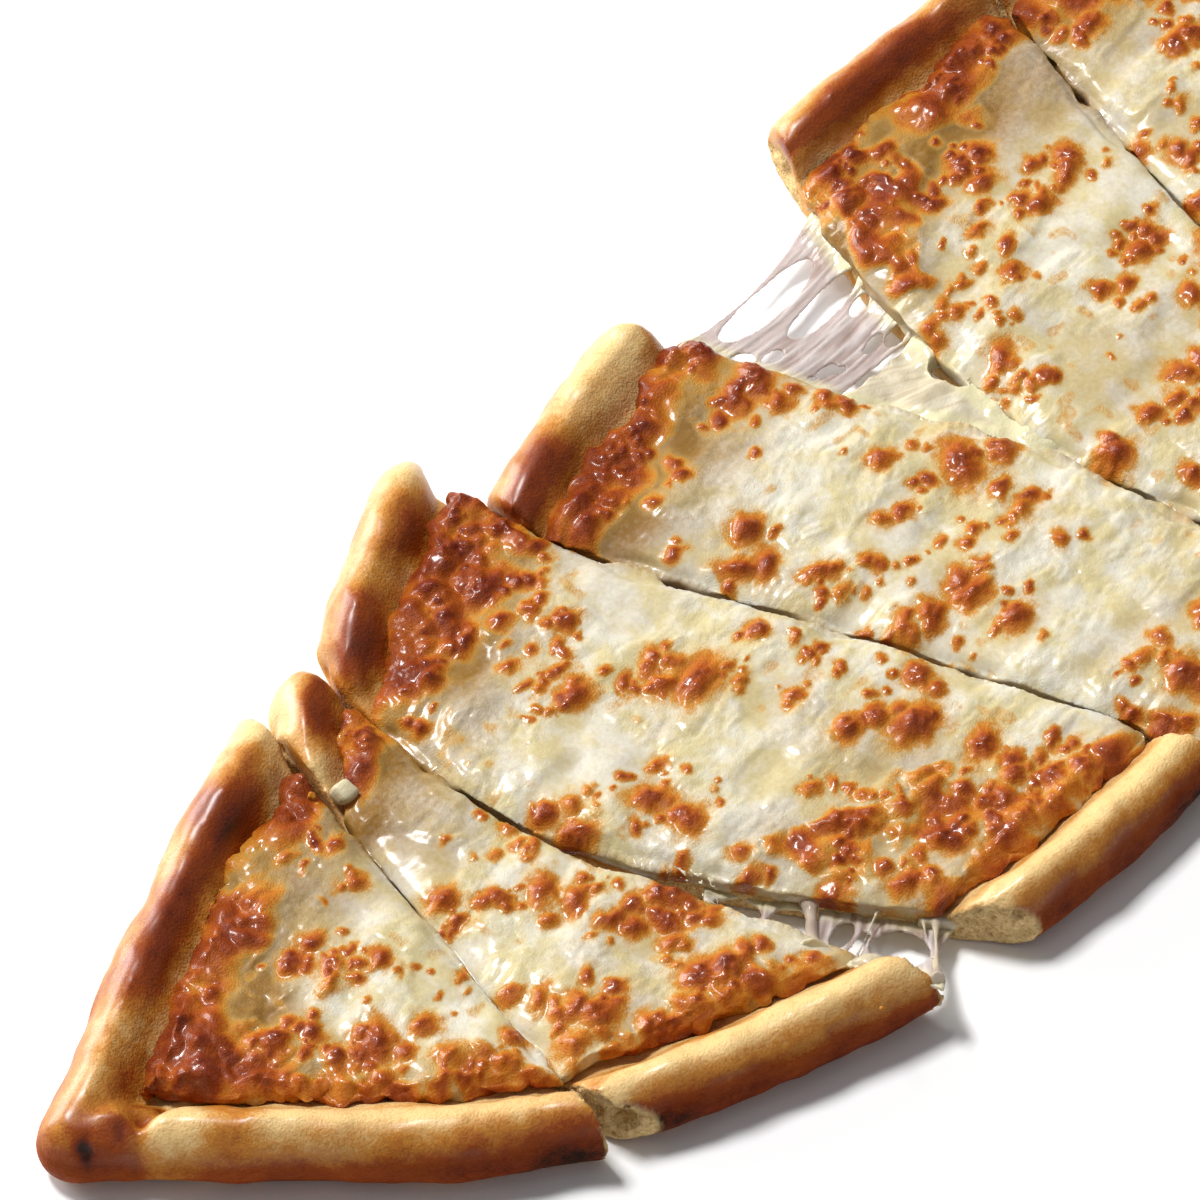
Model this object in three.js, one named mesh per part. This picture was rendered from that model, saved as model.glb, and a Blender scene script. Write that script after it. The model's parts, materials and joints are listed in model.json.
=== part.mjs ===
// A whole cheese pide, cut across into eight slices that lie a little apart, with melted cheese
// stretched over the two gaps that have opened. Millimetres, +Z up, the underside at z = 0.
//
// Every slice is a dough solid, with a thick rolled rim along its outer side, and a cheese solid
// that lies in the hollow between the rims and shows at every cut. Both are built over one grid:
// rows that run across the slice, and columns set by their distance from the outline.

import * as THREE from "three";

// ---- Driving dimensions ----------------------------------------------------------------------

const TIP_LENGTH = 70; // from a pointed end to its first cut
const TIP_BOW = 0.36; // how much its sides bow outwards, 0 for straight ones
const TIP_ROUNDING = 6; // radius of the blunt pinched end
const TIP_FADE = 4; // how far along the sides that rounding is felt

const RIM_HEIGHT = 13;
const RIM_BELLY = 5; // height of the outermost line of the rim
const RIM_CREST = 6; // how far in from the outline the rim is highest
const RIM_FOOT = 14.5; // how far in the rim has run out into the base
const UNDER_CURVE = 4.5; // width of the curved edge under the rim
const BASE_THICKNESS = 4.8;

const CHEESE_EDGE = 11.8; // how far in from the outline the cheese begins
const CHEESE_LEVEL = 9.3; // height of the middle of the cheese
const CHEESE_LIP = 0.9; // thickness of the cheese at that edge
const CLEARANCE = 0.5; // between a slice's dough and its cheese

// Slow unevenness of the rim along the pide, and of the cheese along the layout's two axes.
const RIM_SWELLS = [
  { rise: 0.5, length: 9, shift: 0 },
  { rise: 0.3, length: 4.1, shift: 1 },
];
const CHEESE_SWELL = { rise: 0.3, lengthX: 8, lengthY: 9, shift: 0.4 };

const AXIS_TURN = 42; // degrees from the layout's first axis to the long axis of the pide

const COLOURS = { dough: 0xd39a50, cheese: 0xeadfae, stretched: 0xeee4d8 };

// How far in from the outline the columns stand, over the rim and then in the hollow.
const RIM_COLUMNS = [0, 0.6, 2, 4, 6, 8.5, CHEESE_EDGE, RIM_FOOT];
const MIDDLE_COLUMNS = 5;
const CHEESE_COLUMN = RIM_COLUMNS.indexOf(CHEESE_EDGE);

// How many steps the rows take over a middle slice, and over the cheese of a pointed end. Before
// that cheese they stand at these shares of the way to it, closer together at the point.
const STRIP_STEPS = 7;
const TIP_STEPS = 9;
const TIP_SHARES = [0, 0.02, 0.07, 0.16, 0.3, 0.5, 0.74];

// ---- The cuts, in the layout's plan ------------------------------------------------------------
// Each is a smooth line from the left rim to the right one. A slice lies between its near and its
// far cut. Two slices that touch have cuts about a millimetre apart. A slice's bulge is how far its
// left and its right side bow outwards.

const line = (...points) => new THREE.SplineCurve(points.map(([x, y]) => new THREE.Vector2(x, y)));

const SLICES = [
  { tip: [-84.5, -108], cut: line([-55.5, -27.5], [2, -106.5]) },
  {
    near: line([-52.2, -30], [-27, -65.5], [-3.2, -97.6], [8.5, -101.8]),
    far: line([-46.5, -17.2], [-18, -46.8], [16, -62.5], [53.5, -79]),
    bulge: [2.4, 1.2],
  },
  {
    near: line([-45.8, -16.8], [-17.2, -45.2], [20, -58.5], [68, -66.5]),
    far: line([-33.4, 24.6], [-8, 5], [47, -15.5], [97.5, -36]),
    bulge: [1.2, 1.2],
  },
  {
    near: line([-18.5, 14.6], [-7, 6.2], [47.4, -14.2], [110, -39]),
    far: line([1.5, 50.3], [42, 33.5], [64.4, 26.9], [90, 12.4], [137, -14]),
    bulge: [0.6, 0.6],
  },
  {
    near: line([27.5, 89.5], [42.5, 60.5], [49.5, 49], [57, 41], [65.5, 29.2], [90, 14.4], [138.5, -12.4]),
    far: line([61, 124], [83, 91], [108, 57], [160, 14]),
    bulge: [0.8, 0.8],
  },
  {
    near: line([62.5, 125.4], [84, 92], [109, 58], [161.3, 15.2]),
    far: line([102, 150], [142, 99], [189, 52.7]),
    bulge: [2, 2],
  },
  {
    near: line([103, 150.9], [143, 100], [190, 53.6]),
    far: line([139.3, 163], [172, 123], [207.3, 87.7]),
    bulge: [1.5, 1.5],
  },
  { tip: [226, 173], cut: line([140.4, 164.2], [208.6, 88.6]) },
];

// ---- Plan of a slice ---------------------------------------------------------------------------

// Half the width of a pointed end, at a distance from its point. halfCut is half its cut's length.
function tipHalfWidth(distance, halfCut) {
  const share = distance / TIP_LENGTH;
  const side = halfCut * share * (1 + TIP_BOW * (1 - share));
  const rounding = 2 * TIP_ROUNDING * distance * Math.exp(-distance / TIP_FADE);
  return Math.sqrt(side * side + rounding);
}

// A pointed end as a function of t, from its point to its cut, and f, from its left side to its right.
function pointedPlan({ tip, cut }) {
  const left = cut.getPoint(0);
  const right = cut.getPoint(1);
  const middle = left.clone().lerp(right, 0.5);
  const point = new THREE.Vector2(...tip);
  const halfCut = left.distanceTo(right) / 2;
  return (f, t) => {
    const widened = tipHalfWidth(t * TIP_LENGTH, halfCut) / tipHalfWidth(TIP_LENGTH, halfCut);
    const across = left.clone().lerp(right, f).sub(middle).multiplyScalar(widened);
    return point.clone().lerp(middle, t).add(across);
  };
}

// A middle slice as a function of t, from its near to its far cut, and f, from left to right.
function stripPlan({ near, far, bulge }) {
  return (f, t) => {
    const left = near.getPointAt(0).lerp(far.getPointAt(0), t);
    const right = near.getPointAt(1).lerp(far.getPointAt(1), t);
    const share = 4 * t * (1 - t) * (2 * f - 1) ** 3; // 1 halfway along the right side, -1 on the left
    const reach = share < 0 ? bulge[0] : bulge[1];
    const outward = right.sub(left).setLength(reach).multiplyScalar(share);
    return near.getPointAt(f).lerp(far.getPointAt(f), t).add(outward);
  };
}

const OUTLINE_TOLERANCE = 0.02; // how far a curved side may stand off its straight steps

// The left (f = 0) or right (f = 1) side as short straight steps, run on past its cuts.
function outline(plan, f, pointed) {
  const steps = 40;
  const run = 30;
  const crowding = 1.6; // makes the first steps the shortest, where a pointed end curves most
  const points = [];
  for (let i = 0; i <= steps; i++) points.push(plan(f, (i / steps) ** crowding));
  const beyond = (a, b) => b.clone().sub(a).setLength(run).add(b);
  points.push(beyond(points[steps - 1], points[steps]));
  if (!pointed) points.unshift(beyond(points[1], points[0]));
  return points;
}

function distanceToPath(path, point) {
  let nearest = Infinity;
  for (let i = 1; i < path.length; i++) {
    const step = path[i].clone().sub(path[i - 1]);
    const along = THREE.MathUtils.clamp(point.clone().sub(path[i - 1]).dot(step) / step.lengthSq(), 0, 1);
    nearest = Math.min(nearest, step.multiplyScalar(along).add(path[i - 1]).distanceTo(point));
  }
  return nearest;
}

// Where between low and high a rising function reaches a value, or high if it never does.
function solve(rising, value, low, high) {
  if (rising(high) <= value) return high;
  for (let i = 0; i < 40; i++) {
    const middle = (low + high) / 2;
    if (rising(middle) < value) low = middle;
    else high = middle;
  }
  return (low + high) / 2;
}

// ---- Heights -----------------------------------------------------------------------------------

const quarterRound = (share) => Math.sqrt(Math.max(0, 1 - (1 - Math.min(share, 1)) ** 2));

// Top of the dough at a distance in from the outline. along gives the rim its slow swells.
function doughTop(inward, along) {
  let height = RIM_HEIGHT;
  for (const { rise, length, shift } of RIM_SWELLS) height += rise * Math.sin(along / length + shift);
  if (inward <= RIM_CREST) return RIM_BELLY + (height - RIM_BELLY) * quarterRound(inward / RIM_CREST);
  const fall = Math.min(1, (inward - RIM_CREST) / (RIM_FOOT - RIM_CREST));
  return BASE_THICKNESS + (height - BASE_THICKNESS) * 0.5 * (1 + Math.cos(Math.PI * fall));
}

const doughUnder = (inward) => RIM_BELLY * (1 - quarterRound(inward / UNDER_CURVE));

function cheeseTop(inward, x, y) {
  const { rise, lengthX, lengthY, shift } = CHEESE_SWELL;
  const swell = rise * Math.sin(x / lengthX + shift) * Math.cos(y / lengthY);
  const settled = THREE.MathUtils.smoothstep(inward, CHEESE_EDGE, RIM_FOOT);
  return CHEESE_LEVEL + swell * settled;
}

// ---- Grid over a slice -------------------------------------------------------------------------

// Each row is a list of columns from left to right, and each column is {x, y, inward, along}.
function gridOf(slice) {
  const pointed = "tip" in slice;
  const plan = pointed ? pointedPlan(slice) : stripPlan(slice);
  const left = outline(plan, 0, pointed);
  const right = outline(plan, 1, pointed);
  const inwardAt = (f, t) => {
    const point = plan(f, t);
    const distance = Math.min(distanceToPath(left, point), distanceToPath(right, point));
    return Math.max(0, distance - OUTLINE_TOLERANCE);
  };
  const rowAt = (t) => {
    const fromLeft = RIM_COLUMNS.map((d) => solve((f) => inwardAt(f, t), d, 0, 0.5));
    const fromRight = RIM_COLUMNS.map((d) => 1 - solve((f) => inwardAt(1 - f, t), d, 0, 0.5));
    const from = fromLeft.at(-1);
    const to = fromRight.at(-1);
    const middle = [];
    for (let i = 1; i <= MIDDLE_COLUMNS; i++) {
      middle.push(from + ((to - from) * i) / (MIDDLE_COLUMNS + 1));
    }
    const columns = [...fromLeft, ...middle, ...fromRight.reverse()];
    return columns.map((f) => {
      const { x, y } = plan(f, t);
      return { x, y, inward: inwardAt(f, t), along: x + y };
    });
  };
  if (!pointed) return { rows: spread(0, 1, STRIP_STEPS).map(rowAt), cheeseFrom: 0 };
  // On a pointed end one row stands exactly where the cheese comes to its point.
  const start = solve((t) => inwardAt(0.5, t), CHEESE_EDGE, 0, 1);
  const beforeCheese = TIP_SHARES.map((share) => share * start);
  const places = [...beforeCheese, ...spread(start, 1, TIP_STEPS)];
  return { rows: places.map(rowAt), cheeseFrom: beforeCheese.length };
}

// Evenly spaced numbers, with both ends.
function spread(from, to, steps) {
  return Array.from({ length: steps + 1 }, (_, i) => from + ((to - from) * i) / steps);
}

// ---- Solids ------------------------------------------------------------------------------------

const SAME_PLACE = 0.001; // corners closer than this are one

// Collects triangles over shared corners, and leaves out those that have shrunk to a line.
class Shell {
  constructor() {
    this.corners = new Map();
    this.positions = [];
    this.triangles = [];
  }
  corner(x, y, z) {
    const key = [x, y, z].map((v) => Math.round(v / SAME_PLACE)).join();
    if (!this.corners.has(key)) {
      this.corners.set(key, this.corners.size);
      this.positions.push(x, y, z);
    }
    return this.corners.get(key);
  }
  triangle(a, b, c) {
    if (a !== b && b !== c && c !== a) this.triangles.push(a, b, c);
  }
  quad(a, b, c, d) {
    this.triangle(a, b, c);
    this.triangle(a, c, d);
  }
  geometry() {
    const made = new THREE.BufferGeometry();
    made.setAttribute("position", new THREE.Float32BufferAttribute(this.positions, 3));
    made.setIndex(this.triangles);
    made.computeVertexNormals();
    return made;
  }
}

// A closed solid between two heights over a grid of rows and columns.
function slab(rows, topOf, underOf) {
  const shell = new Shell();
  const top = rows.map((row) => row.map((c) => shell.corner(c.x, c.y, topOf(c))));
  const under = rows.map((row) => row.map((c) => shell.corner(c.x, c.y, underOf(c))));
  const lastRow = rows.length - 1;
  const lastColumn = rows[0].length - 1;
  for (let r = 0; r < lastRow; r++) {
    for (let c = 0; c < lastColumn; c++) {
      shell.quad(top[r][c], top[r][c + 1], top[r + 1][c + 1], top[r + 1][c]);
      shell.quad(under[r][c], under[r + 1][c], under[r + 1][c + 1], under[r][c + 1]);
    }
    shell.quad(top[r][0], top[r + 1][0], under[r + 1][0], under[r][0]);
    const end = lastColumn;
    shell.quad(top[r][end], under[r][end], under[r + 1][end], top[r + 1][end]);
  }
  for (let c = 0; c < lastColumn; c++) {
    const end = lastRow;
    shell.quad(top[0][c], under[0][c], under[0][c + 1], top[0][c + 1]);
    shell.quad(top[end][c], top[end][c + 1], under[end][c + 1], under[end][c]);
  }
  return shell.geometry();
}

// Rows that start at the far point run the other way, and would turn the solid inside out.
function facingUp(rows) {
  const [before, last] = rows.slice(-2);
  const across = new THREE.Vector2(last.at(-1).x - last[0].x, last.at(-1).y - last[0].y);
  const forward = new THREE.Vector2(last[0].x - before[0].x, last[0].y - before[0].y);
  return across.cross(forward) > 0 ? rows : rows.map((row) => row.toReversed());
}

const material = (name, roughness) =>
  new THREE.MeshStandardMaterial({ name, color: COLOURS[name], roughness, metalness: 0 });

const doughMaterial = material("dough", 0.55);
const cheeseMaterial = material("cheese", 0.35);
const stretchedMaterial = material("stretched", 0.4);

function named(name, geometry, finish) {
  const mesh = new THREE.Mesh(geometry, finish);
  mesh.name = name;
  return mesh;
}

function slicePieces(slice, number) {
  const grid = gridOf(slice);
  const rows = facingUp(grid.rows);
  const hollow = rows.slice(grid.cheeseFrom).map((row) => row.slice(CHEESE_COLUMN, -CHEESE_COLUMN));
  const top = (c) => doughTop(c.inward, c.along);
  const bed = (c) => top(c) + CLEARANCE;
  const surface = (c) => Math.max(bed(c) + CHEESE_LIP, cheeseTop(c.inward, c.x, c.y));
  return [
    named(`slice_${number}_dough`, slab(rows, top, (c) => doughUnder(c.inward)), doughMaterial),
    named(`slice_${number}_cheese`, slab(hollow, surface, bed), cheeseMaterial),
  ];
}

// A strand of cheese drawn out between two points, thick at its ends and thin at its waist.
function strand(number, from, to, endRadius, waistRadius) {
  const [steps, sides] = [6, 8];
  const length = from.distanceTo(to);
  const profile = spread(0, 1, steps).map((share) => {
    const radius = waistRadius + (endRadius - waistRadius) * (2 * share - 1) ** 4;
    return new THREE.Vector2(radius, share * length);
  });
  const closed = [new THREE.Vector2(0, 0), ...profile, new THREE.Vector2(0, length)];
  const mesh = named(`cheese_strand_${number}`, new THREE.LatheGeometry(closed, sides), stretchedMaterial);
  mesh.position.copy(from);
  mesh.quaternion.setFromUnitVectors(new THREE.Vector3(0, 1, 0), to.clone().sub(from).normalize());
  return mesh;
}

// A thin sheet of drawn cheese over a gap: its outline, holes and lowest level.
function sheet(name, outline, holes, level, thickness) {
  const shape = new THREE.Shape(outline);
  for (const [x, y, halfLength, halfWidth, degrees] of holes) {
    const hole = new THREE.Path();
    hole.absellipse(x, y, halfLength, halfWidth, 0, 2 * Math.PI, true, THREE.MathUtils.degToRad(degrees));
    shape.holes.push(hole);
  }
  const options = { depth: thickness, bevelEnabled: false, curveSegments: 8 };
  const mesh = named(name, new THREE.ExtrudeGeometry(shape, options), stretchedMaterial);
  mesh.position.z = level;
  return mesh;
}

// ---- The pide ----------------------------------------------------------------------------------

const STRANDS = [
  { from: [24.7, -65.2], to: [26.2, -60.6], endRadius: 1.6, waistRadius: 0.8 },
  { from: [33.6, -69.8], to: [36.4, -62.2], endRadius: 2.6, waistRadius: 1.5 },
  { from: [39.2, -72], to: [41.2, -63.4], endRadius: 1.1, waistRadius: 0.4 },
  { from: [49.5, -75.8], to: [54.5, -65.8], endRadius: 1.4, waistRadius: 0.7 },
];
const STRAND_LEVEL = 7;

const WEB_NEAR_EDGE = line([13.8, 47.4], [37.8, 37]);
const WEB_FAR_EDGE = line([42, 44.5], [47.4, 49.6], [41, 61], [34.8, 72]);
const WEB_HOLES = [
  [25.8, 55.4, 9, 1.9, 48],
  [33.2, 54.2, 5.6, 1.6, 46],
  [38.4, 45.6, 3, 0.7, 44],
];
const WEB_LEVEL = 6.6;
const WEB_THICKNESS = 1.2;

// The cheese that hangs from the fourth slice and bridges to the fifth.
const BRIDGE_NEAR_EDGE = line([41.6, 35.2], [52, 31.8], [61.4, 29.4]);
const BRIDGE_FAR_EDGE = line([62, 33], [58, 37.2], [51, 38.6], [45, 38.4]);
const BRIDGE_LEVEL = 4.4;
const BRIDGE_THICKNESS = 3;

const layout = new THREE.Group();
SLICES.forEach((slice, i) => layout.add(...slicePieces(slice, i + 1)));
STRANDS.forEach(({ from, to, endRadius, waistRadius }, i) => {
  const ends = [from, to].map(([x, y]) => new THREE.Vector3(x, y, STRAND_LEVEL));
  layout.add(strand(i + 1, ...ends, endRadius, waistRadius));
});
const webOutline = [...WEB_NEAR_EDGE.points, ...WEB_FAR_EDGE.points];
const bridgeOutline = [...BRIDGE_NEAR_EDGE.getPoints(8), ...BRIDGE_FAR_EDGE.getPoints(9)];
layout.add(sheet("cheese_web", webOutline, WEB_HOLES, WEB_LEVEL, WEB_THICKNESS));
layout.add(sheet("cheese_bridge", bridgeOutline, [], BRIDGE_LEVEL, BRIDGE_THICKNESS));
layout.rotation.z = -THREE.MathUtils.degToRad(AXIS_TURN);

// The origin is the middle of the whole, on the surface it lies on.
const pide = new THREE.Group();
pide.add(layout);
pide.updateMatrixWorld(true);
const middle = new THREE.Box3().setFromObject(layout, true).getCenter(new THREE.Vector3());
layout.position.set(-middle.x, -middle.y, 0);

export default pide;
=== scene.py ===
"""A whole cheese pide, cut across into slices, with melted cheese drawn out over the open cuts.

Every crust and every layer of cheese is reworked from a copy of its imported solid, so each one stays
where the frame puts it. Shaping is done in millimetres and written back to the meshes in metres.
"""

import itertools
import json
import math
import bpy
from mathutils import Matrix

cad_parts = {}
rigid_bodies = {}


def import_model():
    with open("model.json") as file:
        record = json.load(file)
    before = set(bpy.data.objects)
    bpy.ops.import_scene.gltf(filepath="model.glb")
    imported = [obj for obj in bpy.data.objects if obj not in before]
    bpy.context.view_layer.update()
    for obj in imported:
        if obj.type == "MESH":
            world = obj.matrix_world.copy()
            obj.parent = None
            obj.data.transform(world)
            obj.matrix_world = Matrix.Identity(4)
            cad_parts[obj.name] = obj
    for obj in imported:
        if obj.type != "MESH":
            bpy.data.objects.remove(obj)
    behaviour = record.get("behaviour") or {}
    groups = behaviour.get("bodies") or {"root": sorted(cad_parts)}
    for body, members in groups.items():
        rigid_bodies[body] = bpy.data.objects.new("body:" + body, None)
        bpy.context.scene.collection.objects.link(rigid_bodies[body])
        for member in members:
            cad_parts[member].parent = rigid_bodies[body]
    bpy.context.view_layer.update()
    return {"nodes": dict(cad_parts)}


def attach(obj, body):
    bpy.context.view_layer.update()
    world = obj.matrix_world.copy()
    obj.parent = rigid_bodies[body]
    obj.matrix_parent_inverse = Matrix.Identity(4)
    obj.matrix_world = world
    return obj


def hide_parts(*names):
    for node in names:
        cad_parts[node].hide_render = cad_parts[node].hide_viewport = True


bl_info = {
    "name": "Sliced Cheese Pide",
    "version": (1, 0, 0),
    "blender": (4, 5, 0),
    "location": "View3D > Sidebar > Pide",
    "description": "Models a baked, sliced cheese pide around its packed solids",
    "category": "Object",
}

import bpy
import numpy as np
from bpy.props import FloatProperty, FloatVectorProperty, IntProperty, PointerProperty
from bpy.types import Operator, Panel, PropertyGroup
from mathutils import Vector

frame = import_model()

SLICES = range(1, 9)
MM = 0.001

# ---- The layout ----
# Places that come from the photograph are given in the layout's plan, in millimetres. Its first
# axis points to the camera's right and its second away from the camera.

LAYOUT_TURN = math.radians(42)
LAYOUT_ORIGIN = (-74.32, 25.77)

BELLY_HEIGHT = 5.0  # of the crust's outermost line
BASE_HEIGHT = 4.8  # of the dough under the cheese
RIM_HEIGHT = 13.0
RIM_CREST = 6.0  # how far in from the outline the rim is highest
RIM_FOOT = 14.5  # how far in it has run out into the base


def in_frame(x, y, z=0.0):
    """A place in the layout as a place in the frame, both in millimetres."""
    cos, sin = math.cos(LAYOUT_TURN), math.sin(LAYOUT_TURN)
    return np.array([x * cos + y * sin + LAYOUT_ORIGIN[0], y * cos - x * sin + LAYOUT_ORIGIN[1], z])


# ---- Numbers over a surface ----


def ease(low, high, values):
    """0 below low and 1 above high, with a soft step between. High may be below low."""
    share = np.clip((values - low) / (high - low), 0, 1)
    return share * share * (3 - 2 * share)


def mound(values, width):
    """1 where values are 0, falling away softly over that width."""
    return np.exp(-((values / width) ** 2))


GRID_PRIMES = np.array([73856093, 19349663, 83492791])
SEED_PRIME = 40503
SCRAMBLES = ((15, 0x2C1B3C6D), (12, 0x297A2D39))  # shifts and factors that scramble a number
ALL_BITS = 0xFFFFFFFF


def waves(points, size, seed):
    """Smooth random waves of about that size, from -1 to 1. Size may differ along X, Y and Z."""
    cells = points / np.asarray(size)
    low = np.floor(cells).astype(np.int64)
    part = cells - low
    part = part * part * (3 - 2 * part)
    total = np.zeros(len(points))
    for corner in itertools.product((0, 1), repeat=3):
        key = (low + corner) @ GRID_PRIMES + seed * SEED_PRIME
        for shift, factor in SCRAMBLES:
            key = (key ^ (key >> shift)) * factor & ALL_BITS
        value = (key ^ (key >> 15)) / (ALL_BITS // 2) - 1
        total += value * np.prod(np.where(corner, part, 1 - part), axis=1)
    return total


def layered(points, *layers):
    """Waves added up, each set given as its strength, its size and its seed."""
    return sum(strength * waves(points, size, seed) for strength, size, seed in layers)


def wander(points, size, seed):
    """Smooth random shifts in plan."""
    return np.stack([waves(points, size, seed), waves(points, size, seed + 1)], axis=1)


def rows_of(elements, what, kind=float):
    """Three numbers for each point or face of a mesh."""
    rows = np.empty(len(elements) * 3, dtype=kind)
    elements.foreach_get(what, rows)
    return rows.reshape(-1, 3)


def away_from(points, place):
    """Distance in plan from each point to a place in the layout."""
    return np.linalg.norm(points[:, :2] - in_frame(*place)[:2], axis=1)


def nearest_on(stretches, points):
    """Distance in plan from each point to the nearest of some straight stretches, and the place there."""
    best = np.full(len(points), np.inf)
    place = np.zeros((len(points), 2))
    for start, end in stretches:
        step = end - start
        share = np.clip((points[:, :2] - start) @ step / (step @ step), 0, 1)
        foot = start + share[:, None] * step
        distance = np.linalg.norm(points[:, :2] - foot, axis=1)
        closer = distance < best
        best[closer] = distance[closer]
        place[closer] = foot[closer]
    return best, place


class SlicePlan:
    """The outline and the cuts of one slice from above, read from its packed dough solid."""

    FLAT = 0.02  # a cut's faces stand upright to within this much of their normal
    TIPS = [(-84.5, -108.0), (226.0, 173.0)]  # the pointed ends, where upright faces belong to the rim
    TIP_REACH = 14.0
    SHORTEST = 0.05  # a side that is shorter than this in plan is an upright one
    LEVEL = 0.02  # how close to the belly's height the outline's sides lie
    FAR = 99.0  # stands for the distance to rims that a slice doesn't have
    FRAY_REACH = 4.0  # how far from a cut its waves have run out
    DROOP = 1.0  # how far the sunken edge drops, and over what width
    DROOP_WIDTH = 4.5

    def __init__(self, number):
        mesh = frame["nodes"][f"slice_{number}_dough"].data
        normals = rows_of(mesh.polygons, "normal")
        triangles = rows_of(mesh.vertices, "co")[rows_of(mesh.polygons, "vertices", int)] / MM
        upright = np.abs(normals[:, 2]) < self.FLAT
        for tip in self.TIPS:
            upright &= away_from(triangles.mean(axis=1), tip) > self.TIP_REACH
        self.outline, self.cuts, self.near_cut = [], [], []
        for triangle, is_cut, is_near in zip(triangles, upright, normals[:, 0] < 0):
            for a, b in itertools.combinations(triangle, 2):
                side = (a[:2], b[:2])
                if np.linalg.norm(a[:2] - b[:2]) < self.SHORTEST:
                    continue
                if is_cut:
                    self.cuts.append(side)
                    if is_near:
                        self.near_cut.append(side)
                elif max(abs(a[2] - BELLY_HEIGHT), abs(b[2] - BELLY_HEIGHT)) < self.LEVEL:
                    self.outline.append(side)

    def from_left(self, points):
        """Distance in plan to the rims on the camera's left."""
        middle = np.mean([(a + b) / 2 for a, b in self.outline], axis=0)
        left = []
        for a, b in self.outline:
            way = np.array([b[1] - a[1], a[0] - b[0]]) / np.linalg.norm(b - a)
            way *= np.sign(way @ ((a + b) / 2 - middle))
            if leftness(way[None])[0] > 0.5:
                left.append((a, b))
        return nearest_on(left, points)[0] if left else np.full(len(points), self.FAR)

    def inward(self, points):
        """How far in from the outline each point is, and the way out to it."""
        distance, place = nearest_on(self.outline, points)
        way = place - points[:, :2]
        return distance, way / np.maximum(distance, 1e-6)[:, None]

    def from_cut(self, points):
        return nearest_on(self.cuts, points)[0]

    def fray(self, points, amount):
        """Shifts in plan that make the cuts wavy, by up to about that much."""
        distance, place = nearest_on(self.cuts, points)
        way = (points[:, :2] - place) / np.maximum(distance, 0.3)[:, None]
        return way * (amount * waves(points, (7, 7, 40), 8) * ease(self.FRAY_REACH, 0, distance))[:, None]

    def droop(self, points):
        """How far the edge sinks that faces the camera, under the edge of the slice before it."""
        from_near = nearest_on(self.near_cut, points)[0]
        return self.DROOP * mound(from_near, self.DROOP_WIDTH) * ease(4, 8, points[:, 2])


# ---- Meshes ----


def deselect_all():
    for obj in bpy.context.view_layer.objects:
        obj.select_set(False)


def make_active(piece):
    deselect_all()
    piece.select_set(True)
    bpy.context.view_layer.objects.active = piece


def edit(piece, *steps):
    """Runs edit mode operators on what is selected of a piece, each given as (operator, its options)."""
    make_active(piece)
    bpy.ops.object.mode_set(mode="EDIT")
    for operator, options in steps:
        operator(**options)
    bpy.ops.object.mode_set(mode="OBJECT")


def edit_all(piece, *steps):
    """Runs edit mode operators over the whole of a piece."""
    edit(piece, (bpy.ops.mesh.select_all, {"action": "SELECT"}), *steps)


def edit_chosen(piece, kind, chosen, *steps):
    """Runs edit mode operators on some points ("VERT") or faces ("FACE") of a piece."""
    start_empty = (bpy.ops.mesh.select_all, {"action": "DESELECT"})
    edit(piece, (bpy.ops.mesh.select_mode, {"type": kind}), start_empty)
    elements = piece.data.vertices if kind == "VERT" else piece.data.polygons
    elements.foreach_set("select", chosen)
    edit(piece, *steps)


def apply_modifier(piece, kind, **options):
    make_active(piece)
    modifier = piece.modifiers.new(kind.title(), kind)
    for name, value in options.items():
        setattr(modifier, name, value)
    bpy.ops.object.modifier_apply(modifier=modifier.name)


def add_object(name, data):
    made = bpy.data.objects.new(name, data)
    bpy.context.scene.collection.objects.link(made)
    return made


def working_copy(node, name):
    """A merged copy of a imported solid, to be shaped into a finished piece."""
    mesh = frame["nodes"][node].data.copy()
    mesh.name = name
    mesh.materials.clear()
    piece = add_object(name, mesh)
    edit_all(piece, (bpy.ops.mesh.remove_doubles, {"threshold": 1e-6}))
    return piece


def remesh(piece, voxel, rounds):
    """Gives a piece an even mesh of that spacing, in metres, and rounds its edges."""
    apply_modifier(piece, "REMESH", mode="VOXEL", voxel_size=voxel)
    apply_modifier(piece, "SMOOTH", factor=0.5, iterations=rounds)


def refine_top(piece):
    """Halves the spacing of the mesh over a piece's top, where its fine relief goes."""
    upward = rows_of(piece.data.polygons, "normal")[:, 2] > 0.3
    edit_chosen(piece, "FACE", upward, (bpy.ops.mesh.subdivide, {"number_cuts": 1}))


def read(piece):
    """The places of a piece's points, in millimetres, and their normals."""
    return rows_of(piece.data.vertices, "co") / MM, rows_of(piece.data.vertex_normals, "vector")


def write(piece, points):
    piece.data.vertices.foreach_set("co", (points * MM).ravel())
    piece.data.update()


def paint(piece, **layers):
    """Keeps numbers from 0 to 1 on every point of a piece, for its finish to read."""
    for name, values in layers.items():
        layer = piece.data.attributes.new(name, "FLOAT", "POINT")
        layer.data.foreach_set("value", np.clip(values, 0, 1))


def finish_piece(piece, material, slot, *nodes):
    """Smooth shading, finish and body for a piece that is in place; its slot is not used."""
    make_active(piece)
    bpy.ops.object.shade_smooth()
    piece.data.materials.append(material)
    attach(piece, "root")
    if nodes:
        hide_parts(*nodes)


# ---- Finishes ----


def linear(code):
    """A colour written as six hexadecimal digits, as the linear values that shaders use."""
    shares = [int(code[i : i + 2], 16) / 255 for i in (0, 2, 4)]
    return tuple(s / 12.92 if s <= 0.04045 else ((s + 0.055) / 1.055) ** 2.4 for s in shares)


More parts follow.
